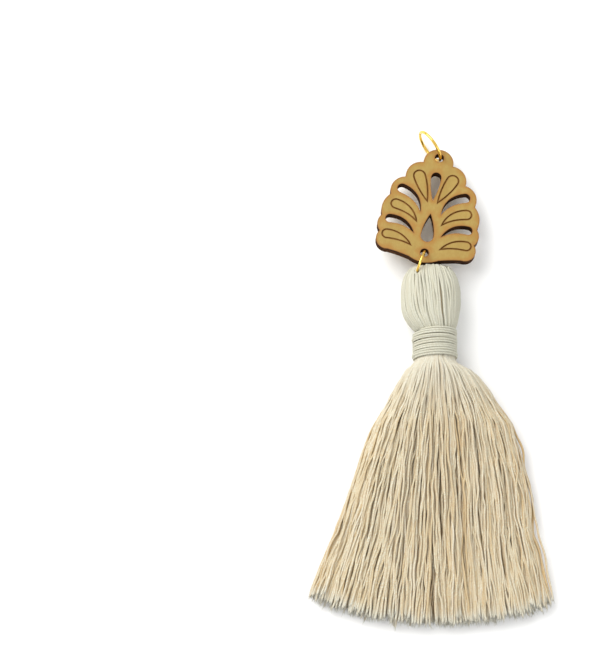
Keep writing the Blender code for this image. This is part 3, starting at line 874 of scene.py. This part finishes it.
def fill_region(points, level, border, height, pitch):
    """A fine triangle net over a flat region, on its own border points."""
    used = sorted({i for edge in border for i in edge})
    number = {index: place for place, index in enumerate(used)}
    flat = [Vector((points[i].x, points[i].y)) for i in used]
    tree = BVHTree.FromPolygons(points, level)
    edge_tree = search_tree([points[a].lerp(points[b], share)
                             for a, b in border for share in (0.0, 0.33, 0.67)])
    low = [min(point[axis] for point in flat) for axis in (0, 1)]
    high = [max(point[axis] for point in flat) for axis in (0, 1)]
    for row in range(int((high[1] - low[1]) / pitch / 0.866)):
        for column in range(int((high[0] - low[0]) / pitch) + 1):
            x = low[0] + (column + 0.5 * (row % 2)) * pitch
            place = Vector((x, low[1] + row * pitch * 0.866, height))
            hit = tree.find_nearest(place, NEAR)[0]
            if hit is not None and edge_tree.find(place)[2] > pitch * 0.55:
                flat.append(Vector((place.x, place.y)))
    edges = [(number[a], number[b]) for a, b in border]
    verts, _, faces, _, _, _ = delaunay_2d_cdt(flat, edges, [], 0, 1e-5)
    corners = [Vector((vert.x, vert.y, height)) for vert in verts]
    kept = []
    for face in faces:
        middle = sum((corners[i] for i in face), Vector()) / len(face)
        if tree.find_nearest(middle, NEAR)[0] is not None:
            kept.append(list(face))
    return corners, kept


def search_tree(places):
    tree = KDTree(len(places))
    for index, place in enumerate(places):
        tree.insert(place, index)
    tree.balance()
    return tree


def border_trees(points, upper_border, lower_border):
    """Search trees of the cut edges and of the engraved lines, in the charm's plane."""
    cut_places = {rounded(points[i]) for edge in lower_border for i in edge}
    cuts, lines = [], []
    for a, b in upper_border:
        start = points[a]
        found = cuts if rounded(start) in cut_places else lines
        steps = max(2, int((points[b] - start).length / 0.12))
        for step in range(steps):
            place = start.lerp(points[b], step / steps)
            found.append(Vector((place.x, place.y, 0.0)))
    return search_tree(cuts), search_tree(lines)


def rounded(point):
    return round(point.x, 2), round(point.y, 2)


def charm_in_plane(source, axes, middle):
    """The charm's points in its own plane, in mm, and its faces, each corner once."""
    solid = bmesh.new()
    solid.from_mesh(source)
    bmesh.ops.remove_doubles(solid, verts=solid.verts, dist=0.001 * MM)
    solid.verts.index_update()
    points = [axes @ (vert.co - middle) / MM for vert in solid.verts]
    faces = [[vert.index for vert in face.verts] for face in solid.faces]
    solid.free()
    return points, faces


def fine_plate(points, faces):
    """The charm with fine nets on its flat faces, and the borders of its upper and lower face.

    Materials: 0 on the flat faces, 1 on the cut sides, 2 in the engraved grooves.
    """
    top = max(point.z for point in points)
    bottom = min(point.z for point in points)
    upper, upper_border = flat_region(points, faces, top)
    lower, lower_border = flat_region(points, faces, bottom)
    flat_faces = {tuple(face) for face in upper + lower}
    shape = bmesh.new()
    verts = [shape.verts.new(point) for point in points]
    for face in faces:
        if tuple(face) in flat_faces:
            continue
        side = shape.faces.new([verts[i] for i in face])
        reaches_bottom = min(points[i].z for i in face) < bottom + LEVEL
        side.material_index = 1 if reaches_bottom else 2
    for level, border, height, pitch, order in (
        (upper, upper_border, top, NET_PITCH[0], 1),
        (lower, lower_border, bottom, NET_PITCH[1], -1),
    ):
        corners, net = fill_region(points, level, border, height, pitch)
        new = [shape.verts.new(corner) for corner in corners]
        for face in net:
            shape.faces.new([new[i] for i in face[::order]])
    bmesh.ops.remove_doubles(shape, verts=shape.verts, dist=0.012)
    loose = [vert for vert in shape.verts if not vert.link_faces]
    bmesh.ops.delete(shape, geom=loose, context="VERTS")
    bmesh.ops.recalc_face_normals(shape, faces=shape.faces)
    mesh = bpy.data.meshes.new("wood_charm_fine")
    shape.to_mesh(mesh)
    shape.free()
    return mesh, upper_border, lower_border


def make_charm(face_material, edge_material, groove_material):
    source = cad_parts["wood_charm"].data
    axes = plate_axes(source)
    middle = sum((vert.co for vert in source.vertices), Vector()) / len(source.vertices)
    points, faces = charm_in_plane(source, axes, middle)
    mesh, upper_border, lower_border = fine_plate(points, faces)
    places = [vert.co.copy() for vert in mesh.vertices]
    plate = mesh.attributes.new("plate", "FLOAT_VECTOR", "POINT")
    plate.data.foreach_set("vector", np.array(places, dtype=np.float32).ravel())
    trees = border_trees(points, upper_border, lower_border)
    for key, tree in zip(("cut_mm", "line_mm"), trees):
        values = [tree.find(Vector((place.x, place.y, 0.0)))[2] for place in places]
        layer = mesh.attributes.new(key, "FLOAT", "POINT")
        layer.data.foreach_set("value", np.array(values, np.float32))
    back = axes.transposed().to_4x4()
    mesh.transform(Matrix.Translation(middle) @ back @ Matrix.Scale(MM, 4))
    mesh.polygons.foreach_set("use_smooth", [True] * len(mesh.polygons))
    mesh.set_sharp_from_angle(angle=math.radians(40))
    for material in (face_material, edge_material, groove_material):
        mesh.materials.append(material)
    return put_in_scene("wood_charm_fine", mesh)


# ---------------------------------------------------------------- stage

def make_stage():
    made, tree, shader = node_material("pale_floor")
    n = Nodes(tree)
    place = tree.nodes.new("ShaderNodeTexCoord").outputs["Object"]
    cloud = n.noise(place, 30.0, 3.0)
    n.link(n.mix(cloud, (0.86, 0.86, 0.85), (0.89, 0.89, 0.885)), shader.inputs["Base Color"])
    shader.inputs["Roughness"].default_value = 0.8
    corners = np.array([(-1, -1, 0), (1, -1, 0), (1, 1, 0), (-1, 1, 0)]) * FLOOR_SIZE
    new_object("floor", corners, [[0, 1, 2, 3]], made, smooth=False)


def aim(item, target):
    item.rotation_mode = "QUATERNION"
    item.rotation_quaternion = (target - item.location).to_track_quat("-Z", "Y")


def make_lights():
    for name, place, size, watts, color in LIGHTS:
        light = bpy.data.lights.new(name, "AREA")
        light.shape = "SQUARE"
        light.size = size
        light.energy = watts
        light.color = color
        item = put_in_scene(name, light)
        item.location = place
        aim(item, Vector())
    world = bpy.data.worlds.new("studio")
    world.use_nodes = True
    background = world.node_tree.nodes["Background"]
    n = Nodes(world.node_tree)
    place = world.node_tree.nodes.new("ShaderNodeTexCoord").outputs["Generated"]
    height = n.split(place)[2]
    n.link(n.ramp(height, *WORLD_COLORS), background.inputs["Color"])
    background.inputs["Strength"].default_value = WORLD_STRENGTH
    bpy.context.scene.world = world
    bpy.context.scene.view_settings.view_transform = "Standard"


def make_camera():
    """Looks down on the tassel from the side of its skirt, with the tassel right of the middle."""
    elevation, azimuth = math.radians(CAMERA_ELEVATION), math.radians(CAMERA_AZIMUTH)
    target = BASE + Vector([part * MM for part in CAMERA_TARGET])
    level = math.cos(elevation)
    back = Vector((math.sin(azimuth) * level, -math.cos(azimuth) * level, math.sin(elevation)))
    data = bpy.data.cameras.new("camera")
    data.lens = CAMERA_LENS
    camera = put_in_scene("camera", data)
    camera.location = target + back * CAMERA_DISTANCE
    aim(camera, target)
    bpy.context.scene.camera = camera


# ---------------------------------------------------------------- whole

def main():
    make_camera()
    make_lights()
    make_stage()
    yarn = cotton("cotton_ends", **SKIRT_COTTON)
    head = cotton("cotton_head", **HEAD_COTTON)
    strands, tips = make_skirt(yarn)
    soft = strands + [make_frays(tips, yarn)] + make_head(head) + [make_core(core_material())]
    for piece in soft:
        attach(piece, TASSEL)
        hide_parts("yarn_bundle")
    winding = make_winding(head)
    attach(winding, TASSEL)
    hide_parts("neck_wrap")
    gold = gold_material()
    for node, body, wire in RINGS:
        ring = make_ring(node, node + "_fine", wire, gold)
        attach(ring, body)
        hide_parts(node)
    edge = burnt_material("plywood_burnt_edge", *EDGE_COLORS)
    groove = burnt_material("plywood_engraving", *GROOVE_COLORS)
    charm = make_charm(wood_face_material(), edge, groove)
    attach(charm, CHARM)
    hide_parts("wood_charm")


main()
